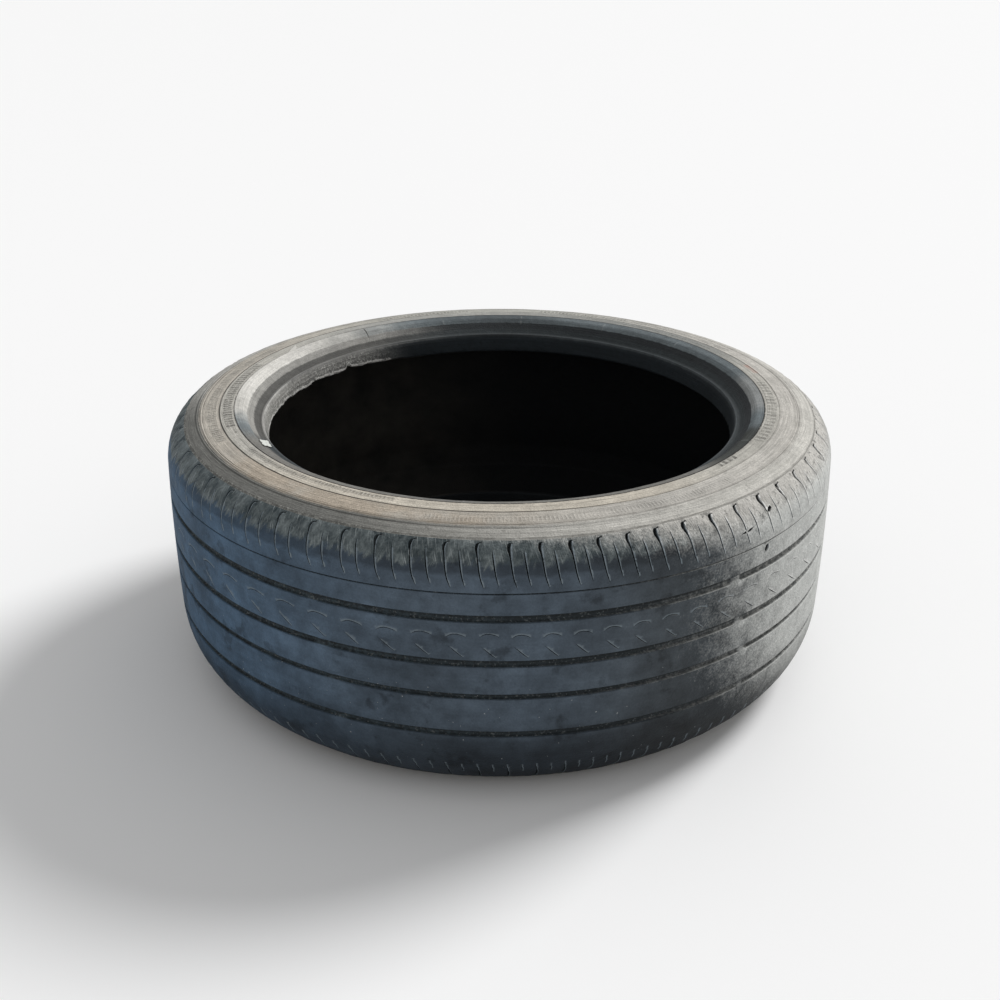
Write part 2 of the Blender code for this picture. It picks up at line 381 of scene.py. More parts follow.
# Cuts of one pitch: (distance round the tyre, height, half width, depth) at each station
NOTCH = ((1.5, 115.6, 0.6, 1.2), (0.3, 114.6, 1.15, 3.4), (-0.5, 113.1, 1.35, 3.8),
         (-0.5, 111.2, 1.15, 3.4), (0.2, 109.0, 0.8, 2.6), (0.8, 106.0, 0.66, 2.2),
         (1.4, 101.6, 0.64, 2.2), (2.2, 95.9, 0.6, 2.1), (3.4, 90.0, 0.52, 1.8), (5.0, 85.0, 0.4, 1.3),
         (6.0, 81.8, 0, 0))
SECOND_SIPE = ((-0.9, 112.0, 0, 0), (-0.7, 109, 0.5, 1.5), (-0.2, 105, 0.6, 2.0), (0.6, 100, 0.62, 2.1),
               (1.6, 94, 0.56, 2.0), (3.0, 87.8, 0.44, 1.5), (4.2, 83.6, 0, 0))
BROW = ((1.6, 38.4, 0, 0), (4.0, 40.6, 0.34, 1.1), (7.5, 41.9, 0.38, 1.3), (11.0, 41.6, 0.38, 1.3),
        (14.5, 40.4, 0.34, 1.1), (16.8, 38.9, 0, 0))
STROKE = ((2.4, 31.6, 0, 0), (5.6, 28.4, 0.36, 1.2), (9.0, 24.9, 0.42, 1.5), (12.8, 21.4, 0.36, 1.3),
          (14.4, 20.2, 0, 0))
LOWER_NOTCH = ((-2.6, -86, 0, 0), (-1.6, -88.5, 0.35, 1.1), (-1.9, -90.8, 0.38, 1.3),
               (-0.5, -93.8, 0.4, 1.5), (-0.8, -96.7, 0.45, 1.7), (0.2, -99.5, 0.7, 2.2),
               (0.2, -103.5, 0.9, 2.8), (0.3, -108.4, 0.95, 3.2), (0.2, -112.2, 0.9, 3.0),
               (0.2, -114.9, 0.5, 1.0))
LOWER_SIPE = ((-2.4, -87, 0, 0), (-1.4, -89.3, 0.34, 1.0), (-1.8, -91.6, 0.36, 1.2),
              (-0.4, -94.6, 0.38, 1.3), (-0.8, -98.2, 0.38, 1.2), (0.4, -101, 0, 0))

# Single flaws on the tread: azimuth in degrees of where each starts, and its stations
FLAWS = (
    (44.0, ((1.2, 76.0, 0, 0), (0.6, 74.0, 2.4, 2.4), (-0.4, 71.0, 3.0, 2.8), (-1.0, 67.8, 0, 0))),
    (45.4, ((-4.6, 102.0, 0, 0), (-0.8, 103.4, 2.5, 2.8), (1.8, 104.6, 2.1, 2.6), (3.4, 103.8, 0, 0))),
    (39.3, ((-9.0, 94.0, 0, 0), (-1.5, 95.0, 1.3, 1.8), (4.5, 95.4, 1.5, 2.0), (10.0, 96.8, 0, 0))),
    (49.6, ((-1.0, 114.4, 0, 0), (-0.8, 112.6, 1.7, 2.6), (0.6, 110.0, 2.2, 3.0),
            (1.6, 107.6, 1.2, 1.6), (2.4, 105.8, 0, 0))),
)
# A radial crack across the flange face: azimuth in degrees, then (distance, radius, half width, depth)
CRACK = (-143.0, ((-0.6, 258.4, 0, 0), (-0.2, 256.6, 0.9, 2.2), (0.3, 252.0, 1.0, 2.6),
                  (0.6, 247.6, 0.6, 1.6), (1.4, 242.5, 0, 0)))


def pattern(sheet, section, rng, start):
    """Adds one pitch's notches, sipes and strokes to its sheet, which starts at this azimuth."""
    scale = sheet.length / MEAN_PITCH
    gape = GAPE + GAPE_SPREAD * math.cos(start - GAPE_AZIMUTH)

    def jitter(amount):
        return rng.uniform(-amount, amount)

    def cut(stations, share, count, shift=0.0, rise=0.0, widen=1.0):
        begin = sheet.length * (TILE_SHIFT + share)
        path = [(begin + (x + shift) * scale, section.at_height(height + rise),
                 half_width * (widen if half_width > GAPING else 1), depth)
                for x, height, half_width, depth in stations]
        sheet.cut(smooth_path(path, count))

    cut(NOTCH, 0, 17, shift=jitter(0.5), widen=gape * rng.uniform(0.75, 1.15))
    cut(SECOND_SIPE, 0.5, 10, shift=jitter(0.5), rise=jitter(0.8))
    cut(BROW, 0, 9, rise=jitter(0.8))
    cut(STROKE, 0, 6, shift=jitter(0.6))
    cut(LOWER_NOTCH, 0, 14, rise=jitter(0.4))
    cut(LOWER_SIPE, 0.5, 8, rise=jitter(0.6))


def add_flaws(sheet, section, start, end):
    """Adds the single flaws and the crack that start within this pitch's azimuths."""
    def within(degrees):
        share = (math.radians(degrees) % (2 * math.pi) - start % (2 * math.pi)) / (end - start)
        return share * sheet.length if 0 <= share < 1 else None

    for degrees, stations in FLAWS:
        s = within(degrees)
        if s is not None:
            inside = 1 < s + stations[0][0] and s + stations[-1][0] < sheet.length - 1
            assert inside, "a flaw may not cross the edge of its pitch"
            sheet.cut([(s + x, section.at_height(height), half_width, depth)
                       for x, height, half_width, depth in stations])
    s = within(CRACK[0])
    if s is not None:
        sheet.cut([(s + x, section.at_radius(radius), half_width, depth)
                   for x, radius, half_width, depth in CRACK[1]])


def fill_sheet(sheet, section, index, torn):
    """Adds the grid rows to a sheet, with the shared points on its two edges."""
    last = len(section.rows) - 1
    for row, v in enumerate(section.place):
        columns = section.columns[row]
        if torn and section.zone[row] == "bead" and section.rows[row][1] < TORN_BELOW:
            columns = TORN_COLUMNS
        key = 0 if row == last else row
        ends = [sheet.point(0, v, key=("edge", index % PITCHES, key)),
                sheet.point(sheet.length, v, key=("edge", (index + 1) % PITCHES, key))]
        inner = []
        for column in range(1, columns):
            s = sheet.length * column / columns
            if row in (0, last):
                inner.append(sheet.point(s, v, key=("seam", index, column)))
            elif section.fixed[row] or sheet.clear(s, v):
                inner.append(sheet.point(s, v))
        if section.fixed[row] or row in (0, last):
            chain = [ends[0], *inner, ends[1]]
            sheet.edges += list(zip(chain, chain[1:]))


def wrap(section):
    """Triangulates every pitch and joins them. Returns rows of flat points, and the faces.

    The rows are each point's azimuth, its place along the section, the depth of its cut, 1 on the
    lip of a cut, and how far it lies from the nearest notch.
    """
    shared, spots, faces = {}, [], []
    generator = np.random.default_rng(7)
    for index in range(PITCHES):
        start, end = pitch_azimuth(index + TILE_SHIFT), pitch_azimuth(index + 1 + TILE_SHIFT)
        sheet = Sheet((end - start) * OUTER_RADIUS)
        pattern(sheet, section, generator, start)
        add_flaws(sheet, section, start, end)
        turned = math.remainder(start, 2 * math.pi)
        torn = TEAR_FROM - 0.1 < turned < TEAR_TO + 0.05
        fill_sheet(sheet, section, index, torn)
        points = [Vector(p) for p in sheet.points]
        found = delaunay_2d_cdt(points, sheet.edges, [], 0, 1e-5, True)
        numbers = []
        for spot, origin in zip(found[0], found[3]):
            key = sheet.keys[origin[0]] if origin else None
            if key is not None and key in shared:
                numbers.append(shared[key])
                continue
            numbers.append(len(spots))
            if key is not None:
                shared[key] = len(spots)
            marks = sheet.marks[origin[0]] if origin else (0.0, 0.0)
            off = min(abs(spot.x - sheet.length * (TILE_SHIFT + k)) for k in (-1, 0, 1))
            spots.append((start + (end - start) * spot.x / sheet.length,
                          spot.y if spot.y < section.place[-1] - 1e-6 else 0.0, *marks, off))
        for triangle in found[2]:
            faces.append([numbers[i] for i in reversed(triangle)])
    return np.array(spots).T, faces


def bell(x, middle, width):
    return np.exp(-((x - middle) / width) ** 2)


def smoothstep(x, low, high):
    t = np.clip((x - low) / (high - low), 0, 1)
    return t * t * (3 - 2 * t)


def rough(points, size, seed, octaves=3):
    """Noise between about -1 and 1 at each point, with features of this size in millimetres."""
    shift = Vector((seed * 17.3, seed * 5.1, seed * 9.7))
    return np.array([noise.fractal(Vector(p) / size + shift, 1.0, 2.0, octaves) for p in points])


def torn_back(turned):
    """How far the toe is torn back at these azimuths, in millimetres, and how torn it is, 0 to 1."""
    share = np.clip((turned - TEAR_FROM) / (TEAR_TO - TEAR_FROM), 0, 1)
    window = np.sqrt(np.sin(math.pi * share))
    waves = 2.3 + 0.7 * np.sin(23 * turned) + 0.35 * np.sin(51 * turned + 1)

    # Flakes about 5 and 2 mm long have come off
    along = turned * TOE_RADIUS
    steps = np.random.default_rng(3).random(400)
    big = steps[np.floor(along / 4.7 + 0.4 * np.sin(along / 3.1)).astype(int) % len(steps)]
    small = steps[np.floor(along / 1.7).astype(int) % len(steps)]
    notch = TEAR_NOTCH_DEPTH * bell(turned, TEAR_NOTCH, TEAR_NOTCH_HALF)
    return window * (waves + 1.2 * big + 0.8 * small + notch), window


def shape(section, azimuth, place, depth, lip, off_notch):
    """Wraps the flat points round the section, then wears and tears them.

    Returns the points in metres, how torn each is, how far it faces the key light, and 1 on wear bars.
    """
    radius, height, out_radius, out_height = section.at(place)
    turned = np.remainder(azimuth + math.pi, 2 * math.pi) - math.pi
    on_skin = spun(radius, azimuth, height)

    push = -depth
    bars = np.zeros(len(azimuth))
    for number, (middle, width) in enumerate(GROOVES):
        floor = (np.abs(height - middle) < width / 2 - 0.3) & (radius < crown(middle) - 1.0)
        for bar in WEAR_BARS:
            off = (np.degrees(turned) - bar - WEAR_BAR_STAGGER[number] + 180) % 360 - 180
            run = np.abs(np.radians(off) * OUTER_RADIUS)
            bars += floor * (1 - smoothstep(run, WEAR_BAR_HALF - 1, WEAR_BAR_HALF + 1))
    push = push + bars * WEAR_BAR_HEIGHT

    # Worn and scuffed shoulders, slack sidewalls and a rough bead
    in_tread = (place > section.start("tread") - 0.1) & (place < section.start("low_side") + 0.1)
    on_arc = (height > SHOULDERS[UPPER][0]) | (height < -SHOULDERS[LOWER][0])
    lumps, grain = rough(on_skin, 13, 1), rough(on_skin, 3.2, 2, 2)
    scuffed = bell(np.abs(height), 112, 6) * in_tread * np.where(depth > 0, 0.3, 1)
    push = push - scuffed * (0.25 + 0.55 * np.maximum(lumps, -0.4) + 0.25 * grain)
    push = push - 0.75 * bell(off_notch, 0, 2.6) * scuffed + 0.12 * lip * in_tread * on_arc
    push = push - in_tread * on_arc * 0.1 * (1 + lumps)
    outside = (np.abs(height) > 85) & ~in_tread & (place > section.start("bead"))
    push = push - outside * 0.12 * (1 + lumps)
    push = push - outside * bell(radius, 306, 2.5) * 0.7 * np.maximum(rough(on_skin, 5, 4), 0)

    # Without the grooves and cuts, so that the dust and the painted sunlight lie evenly over them
    tilt = 0.0
    for side, (edge, size, _) in SHOULDERS.items():
        middle = edge - size * edge / CROWN_RADIUS
        tilt = tilt + side * np.clip((side * height - middle) / size, 0, 1)
    lean = SUNWARD_ELEVATION
    sunward = (np.sqrt(1 - tilt**2) * np.cos(azimuth - SUN_AZIMUTH) * math.cos(lean)
               + SUNWARD_TILT * tilt * math.sin(lean))

    lift, window = torn_back(turned)
    on_bead = smoothstep(radius, 250, 231) * (height > 0) * (radius < 250)
    on_toe = on_bead * smoothstep(height, 105.0, 93.0)
    crumbs = rough(on_skin, 1.9, 5, 2)
    height = height + on_toe * (lift + 0.9 * window * np.maximum(crumbs, -0.4))
    radius = radius + on_toe * window * (0.5 + 0.6 * crumbs) * (height > 90)
    push = push + on_bead * window * 0.22 * crumbs

    radius = np.minimum(radius + push * out_radius, OUTER_RADIUS)
    height = height + push * out_height
    points = spun(radius, azimuth, MID_HEIGHT + height)
    return np.clip(points / 1000, *cad_box), on_toe * smoothstep(window, 0.1, 0.5), sunward, bars


def add_object(name, data):
    made = bpy.data.objects.new(name, data)
    bpy.context.scene.collection.objects.link(made)
    return made


def add_mesh(name, points, faces):
    mesh = bpy.data.meshes.new(name)
    mesh.from_pydata(points, [], faces)
    return add_object(name, mesh)


def build_tyre(section, looks):
    """The tyre's mesh. looks gives the material of each zone of the section."""
    flat, faces = wrap(section)
    _, place, depth, lip, off_notch = flat
    points, torn, sunward, bars = shape(section, *flat)
    tyre = add_mesh("tyre_rubber", points.tolist(), faces)
    mesh = tyre.data
    floors = np.array([zone == "floor" for zone in section.zone], float)
    clean = bars * smoothstep(sunward, -0.3, -0.05)
    for name, values in (("cut", np.clip(depth / FULL_CUT, 0, 1)), ("lip", lip), ("torn", torn),
                         ("groove", np.interp(place, section.place, floors) * (1 - clean)),
                         ("off_notch", off_notch), ("sunward", sunward)):
        attribute = mesh.attributes.new(name, "FLOAT", "POINT")
        attribute.data.foreach_set("value", values.astype(np.float32))
    materials = list(dict.fromkeys(looks.values()))
    for material in materials:
        mesh.materials.append(material)
    middles = place[np.array(faces)]
    wrapped = middles.max(axis=1) - middles.min(axis=1) > section.place[-1] / 2
    middles = np.where(wrapped, section.place[-1], middles.mean(axis=1))
    index = np.zeros(len(faces), np.int32)
    for zone, look in looks.items():
        index[middles > section.start(zone)] = materials.index(look)
    mesh.polygons.foreach_set("material_index", index)
    mesh.validate()
    mesh.shade_smooth()
    mesh.set_sharp_from_angle(angle=SHARP_ANGLE)
    return tyre


def build_label(section, look):
    """A torn, creased scrap of label that lies askew on the flange face, down into its hollow."""
    columns, rows = LABEL_COLUMNS, LABEL_ROWS
    outer = [(math.radians(turn), section.at_radius(radius)) for turn, radius in LABEL_OUTER]
    inner = [(math.radians(turn), section.at_radius(radius)) for turn, radius in LABEL_INNER]
    points = []
    for row in range(rows + 1):
        v = row / rows
        for column in range(columns + 1):
            u = column / columns
            fray = Vector((u * 5, v * 4, 2.0))
            across = u + 0.07 * noise.fractal(fray, 1.0, 2.0, 3)
            along = v + 0.07 * noise.fractal(fray + Vector((9, 3, 1)), 1.0, 2.0, 3)
            along += 0.16 * bell(u, 0.45, 0.10) * (1 - v)
            first, last = [Vector(edge[0]).lerp(Vector(edge[1]), across) for edge in (outer, inner)]
            azimuth, place = first.lerp(last, along)
            crease = 0.25 * abs(noise.noise(Vector((u * 2.3, v * 3.1, 7.0))))
            crease += 0.3 * bell(u - v, 0.1, 0.08)
            border = max(abs(2 * u - 1), abs(2 * v - 1)) ** 6
            curl = 0.35 * border * (0.5 + noise.noise(Vector((u * 6, v * 6, 3.0))))
            lift = LABEL_LIFT + crease + curl
            radius, height, out_radius, out_height = section.at(place)
            height += MID_HEIGHT + lift * out_height
            points.append((spun(radius + lift * out_radius, azimuth, height) / 1000).tolist())
    width = columns + 1
    corners = [row * width + column for row in range(rows) for column in range(columns)]
    faces = [(corner, corner + 1, corner + width + 1, corner + width) for corner in corners]
    label = add_mesh("label_paper", points, faces)
    label.data.materials.append(look)
    label.data.shade_smooth()
    thick = label.modifiers.new("thickness", "SOLIDIFY")
    thick.thickness = LABEL_THICKNESS / 1000
    thick.offset = 1
    return label


def formula(operation, swapped=False):
    def work(self, *other):
        return self.graph.math(operation, *((*other, self) if swapped else (self, *other)))
    return work


class Value:
    """A node socket that takes part in sums, so that formulas read as such."""

    def __init__(self, graph, socket):
        self.graph, self.socket = graph, socket

    __add__ = __radd__ = formula("ADD")
    __mul__ = __rmul__ = formula("MULTIPLY")
    __sub__, __rsub__ = formula("SUBTRACT"), formula("SUBTRACT", swapped=True)
    __truediv__, __abs__ = formula("DIVIDE"), formula("ABSOLUTE")


class Graph:
    """The nodes of one material."""

    def __init__(self, name, roughness=0.85, specular=0.3):
        self.material = bpy.data.materials.new(name)
        self.material.use_nodes = True
        self.tree = self.material.node_tree
        self.shader = self.tree.nodes["Principled BSDF"]
        self.shader.inputs["Roughness"].default_value = roughness
        self.shader.inputs["Specular IOR Level"].default_value = specular
        place = self.node("ShaderNodeTexCoord", "Object", {})
        x, y, z = [self.node("ShaderNodeSeparateXYZ", i, {0: place}) for i in range(3)]
        self.place = self.scaled(place, 1000)
        self.radius = self.math("SQRT", x * x + y * y) * 1000
        self.height = z * 1000 - MID_HEIGHT
        self.degrees = self.math("ARCTAN2", x, y * -1) * (180 / math.pi)
        self.unit = (x * 1000 / self.radius, y * 1000 / self.radius)

    def feed(self, socket, value):
        if isinstance(value, Value):
            self.tree.links.new(value.socket, socket)
        elif isinstance(value, tuple):
            socket.default_value = (*value, 1.0) if len(socket.default_value) == 4 else value
        else:
            socket.default_value = value

    def node(self, kind, output, feeds, **settings):
        """An output of a new node with these inputs and settings."""
        made = self.tree.nodes.new(kind)
        for name, setting in settings.items():
            setattr(made, name, setting)
        for name, value in feeds.items():
            self.feed(made.inputs[name], value)
        return Value(self, made.outputs[output])

    def math(self, operation, *values):
        return self.node("ShaderNodeMath", 0, dict(enumerate(values)), operation=operation)

    def scaled(self, vector, factor):
        return self.node("ShaderNodeVectorMath", 0, {0: vector, "Scale": factor}, operation="SCALE")

    def step(self, value, low, high):
        """0 below low and 1 above high, smooth in between. low may be above high."""
        ends = (1.0, 0.0) if low > high else (0.0, 1.0)
        feeds = {"Value": value, "From Min": min(low, high), "From Max": max(low, high),
                 "To Min": ends[0], "To Max": ends[1]}
        return self.node("ShaderNodeMapRange", 0, feeds, interpolation_type="SMOOTHSTEP")

    def band(self, value, low, high, soft):
        """1 between low and high, fading to 0 over soft outside them."""
        return self.step(value, low - soft, low) * self.step(value, high + soft, high)

    def turn(self, low, high):
        """0 before the azimuth low and 1 past high, in degrees. low may be above high."""
        return self.step(self.degrees, low, high)

    def arc(self, low, high, soft):
        """1 between two azimuths, in degrees, fading to 0 over soft outside them."""
        return self.band(self.degrees, low, high, soft)

    def ring(self, low, high, soft):
        """1 between two radii, in millimetres, fading to 0 over soft outside them."""
        return self.band(self.radius, low, high, soft)

    def noise(self, size, detail=3.0, vector=None, roughness=0.55):
        """Noise about 0.5, mostly from 0 to 1, with features of about this size in millimetres."""
        feeds = {"Vector": vector or self.place, "Scale": 1 / size, "Detail": detail,
                 "Roughness": roughness}
        return self.node("ShaderNodeTexNoise", "Fac", feeds) * 2 - 0.5

    def streaks(self, length, width, detail=3.0):
        """Noise drawn out round the tyre: length in degrees, width in millimetres of radius."""
        radian = 57.3 / length
        joined = {0: self.unit[0] * radian, 1: self.unit[1] * radian,
                  2: (self.radius + self.height * 0.9) / width}
        return self.noise(1.0, detail, self.node("ShaderNodeCombineXYZ", 0, joined))

    def scratches(self, width, length, slant=0.0):
        """Noise drawn out up and down the tread: sizes in millimetres, slant in width per height."""
        around = self.degrees * math.radians(OUTER_RADIUS)
        joined = {0: (around + self.height * slant) / width, 1: self.height / length}
        return self.noise(1.0, 3, self.node("ShaderNodeCombineXYZ", 0, joined))

    def attribute(self, name):
        return self.node("ShaderNodeAttribute", "Fac", {}, attribute_name=name)

    def facing(self):
        """How much the surface faces the key light, from -1 to 1."""
        feeds = {0: self.node("ShaderNodeNewGeometry", "Normal", {}),
                 1: tuple(direction(SUN_AZIMUTH, SUNWARD_ELEVATION))}
        return self.node("ShaderNodeVectorMath", "Value", feeds, operation="DOT_PRODUCT")

    def mix(self, a, b, factor, kind="RGBA"):
        """From a to b, which are colours, or numbers where kind is FLOAT."""
        return self.node("ShaderNodeMix", "Result", {"Factor": factor, "A": a, "B": b}, data_type=kind)

    def coated(self, base, *coats):
        """The colour base under its coats, each a colour and how much it covers."""
        for colour, cover in coats:
            base = self.mix(base, colour, cover)
        return base

    def finish(self, colour, bump, bump_size, roughness=None):
        """Connects the colour, the roughness and a bump of this height in millimetres."""
        feeds = {"Strength": 1.0, "Distance": bump_size / 1000, "Height": bump}
        normal = self.node("ShaderNodeBump", "Normal", feeds)
        for name, value in (("Base Color", colour), ("Roughness", roughness), ("Normal", normal)):
            if value:
                self.feed(self.shader.inputs[name], value)
        return self.material


def varied(*parts):
    """A shade about 1 that varies with each (value about 0.5, strength)."""
    return math.prod(1 - strength / 2 + strength * value for value, strength in parts)


def tread_material():
    """Slate-grey worn rubber, pale where it faces the key light, with dust and painted sunlight."""
    g = Graph("tread_rubber", specular=0.25)
    cut, lip, groove, off_notch, sunward = [
        g.attribute(name) for name in ("cut", "lip", "groove", "off_notch", "sunward")]
    clouds, patches, blotches = g.noise(55, 4), g.noise(14, 4), g.noise(26, 5, roughness=0.6)
    crumbs, grain, speckle = g.noise(4.2, 4, roughness=0.65), g.noise(1.8, 3), g.noise(0.8, 2)
    wiped, fine, broad = g.streaks(9, 3.5), g.scratches(1.1, 16, 0.35), g.scratches(3.4, 22, -0.5)
    low = g.step(g.height, -30, -90)

    # Bare rubber, bluer towards the left as painted sky light in the shade, darker low down as painted
    # shade near the floor, and darker low at the front
    rubber = g.coated(
        (0.076, 0.142, 0.228), ((0.091, 0.121, 0.156), g.turn(-66, -6)),
        ((0.067, 0.079, 0.089), g.turn(2, 30)), ((0.074, 0.091, 0.108), g.turn(-78, -108)))
    shade = varied((clouds, 0.68), (patches, 0.48), (wiped, 0.16), (grain, 0.24))
    shade = shade * (1 - 0.42 * g.step(blotches, 0.64, 0.86))
    shade = shade * (1 - 0.2 * g.step(g.height, 0, -45) * g.turn(-8, 12))
    low_front_patch = g.band(g.degrees + 8 * (patches - 0.5), -6, 26, 10) * g.step(g.height, -54, -64)
    rubber = g.scaled(rubber, shade * (1 - 0.52 * low) * (1 - 0.3 * low_front_patch))

    # Scuffed blocks of the upper shoulder, darker just below them and beside the notches
    under = g.band(g.height + 6 * (patches - 0.5), 95.5, 100, 4) * g.turn(-84, -50)
    rubber = g.scaled(rubber, 1 - 0.42 * under)
    rubbed = 0.55 * g.step(patches + 0.3 * (clouds - 0.5), 0.15, 0.85) + 0.25 * g.step(crumbs, 0.2, 0.9)
    rubbed = (rubbed + 0.35 * g.step(broad, 0.4, 1.0)) * (0.45 + 0.55 * g.step(off_notch, 0.8, 5.0))
    scuffed = g.coated(
        (0.036, 0.052, 0.057), ((0.25, 0.286, 0.288), rubbed),
        ((0.44, 0.475, 0.48), 0.85 * g.step(fine, 0.66, 0.92)))
    scuffed = g.scaled(scuffed, varied((grain, 0.4)) * (1 - 0.45 * g.step(fine, 0.32, 0.02)))
    scuffs = g.step(g.height + 8 * (patches - 0.5) + 5 * (broad - 0.5), 99, 104)
    rubber = g.mix(rubber, scuffed, scuffs * 0.94)

    # Dust, and painted sunlight: pale where the surface faces the key light, and darker low down as
    # painted shade
    dust = g.mix((0.6, 0.61, 0.588), (0.58, 0.563, 0.525), g.step(g.height, 92, 112))
    smudges = g.step(crumbs + 0.9 * (patches - 0.5), 0.6, 1.00)
    beside = g.step(off_notch + 3 * (crumbs - 0.5), 4.5, 0.5) * g.band(g.height, 104, 120, 4)
    dust = g.scaled(dust, varied((patches, 0.44), (grain, 0.32), (speckle, 0.2)))
    dust = g.scaled(dust, (1 - 0.36 * low) * (1 - smudges * (0.2 + 0.42 * scuffs)))
    dust = g.scaled(dust, 1 - 0.3 * beside)
    facing = 0.8 * sunward + 0.2 * g.facing() - 0.05 * g.step(g.height, 0, -60) - 0.04 * low
    facing = facing + 0.1 * (grain - 0.5) + 0.07 * (patches - 0.5) + 0.07 * (crumbs - 0.5)
    dust_and_sunlight = g.step(facing, -0.15, 0.15)

    # Grime in the grooves, dark enough to stand for part of their shade too, with painted shadow under
    # their upper edges
    left = g.turn(20, -20) * g.turn(-178, -150)
    stones = g.step(g.noise(2.2, 2), 0.62, 0.9)
    upper_half_shadow = sum(g.band(g.height, middle + 0.3, middle + width / 2 + 1, 1.2)
                     for middle, width in GROOVES)
    settled_dust_and_sunlight = g.step(facing, -0.34, 0.06) * (0.3 + 0.7 * g.step(crumbs, 0.3, 0.9))
    settled_dust_and_sunlight = settled_dust_and_sunlight * (1 - 0.65 * upper_half_shadow * (1 - dust_and_sunlight))
    grime_and_shade = g.coated(
        (0.027, 0.034, 0.038), ((0.052, 0.072, 0.084), left * g.step(crumbs, 0.2, 0.8)),
        ((0.125, 0.138, 0.14), stones),
        (g.mix((0.27, 0.28, 0.276), (0.4, 0.4, 0.38), dust_and_sunlight), settled_dust_and_sunlight))
    grime_and_shade = g.scaled(grime_and_shade, 1 - 0.35 * upper_half_shadow)

    # Lips of the cuts, rubbed pale, cuts darkened with their depth as painted shade, and small pale
    # specks, mostly low on the tread
    pale = g.mix((0.25, 0.3, 0.335), (0.86, 0.86, 0.835), dust_and_sunlight)
    bright = g.step(lip, 0.45, 0.9) * g.step(crumbs, 0.05, 0.45)
    bright = bright * (0.62 + 0.31 * g.step(g.height, 60, 80))
    deep = g.step(cut, 0.04, 0.42) * (0.95 - 0.4 * left * scuffs)
    specks = g.step(g.noise(2.6, 1), 1.05, 1.1) * g.step(g.height, 10, -25) * (1 - dust_and_sunlight)
    colour = g.coated(
        rubber, (dust, dust_and_sunlight), (grime_and_shade, g.step(groove, 0.1, 0.6)), (pale, bright),
        ((0.012, 0.015, 0.017), deep), ((0.42, 0.44, 0.45), specks))

    # Darker where the sun stands, so that it looks no paler there than at the photo's right edge
    colour = g.scaled(colour, 1 - 0.48 * g.step(sunward, 0.4, 0.78))

    bump = 0.5 * grain + 0.2 * speckle + 0.5 * crumbs + 0.3 * patches + 0.2 * wiped
    bump = bump + scuffs * (0.8 * crumbs + 0.8 * fine + 0.8 * broad)
    return g.finish(colour, bump, 0.6, g.mix(0.64, 0.92, dust_and_sunlight, "FLOAT"))


# Serrations in place of the raised marks: azimuths in degrees, radii, lines per degree, strength
SERRATIONS = (
    (-121, -64, 276.5, 284.5, 1.1, 1.0),
    (-108, -70, 261.5, 269.5, 0.8, 1.3),
    (-57, -19, 262.0, 267.0, 1.3, 1.0),
    (-12, 44, 281.0, 287.5, 1.5, 0.4),
    (62, 96, 261.5, 270.0, 0.55, 0.9),
    (118, 170, 277.0, 285.0, 1.1, 0.9),
    (-172, -150, 277.0, 285.0, 1.1, 0.9),
    (46.5, 51.8, 260.5, 265.5, 0.62, 1.3),
)
TAG = (-119.4, -123.3, 258.0, 268.4)  # azimuths and radii of the foot and tip of a torn tag of rubber


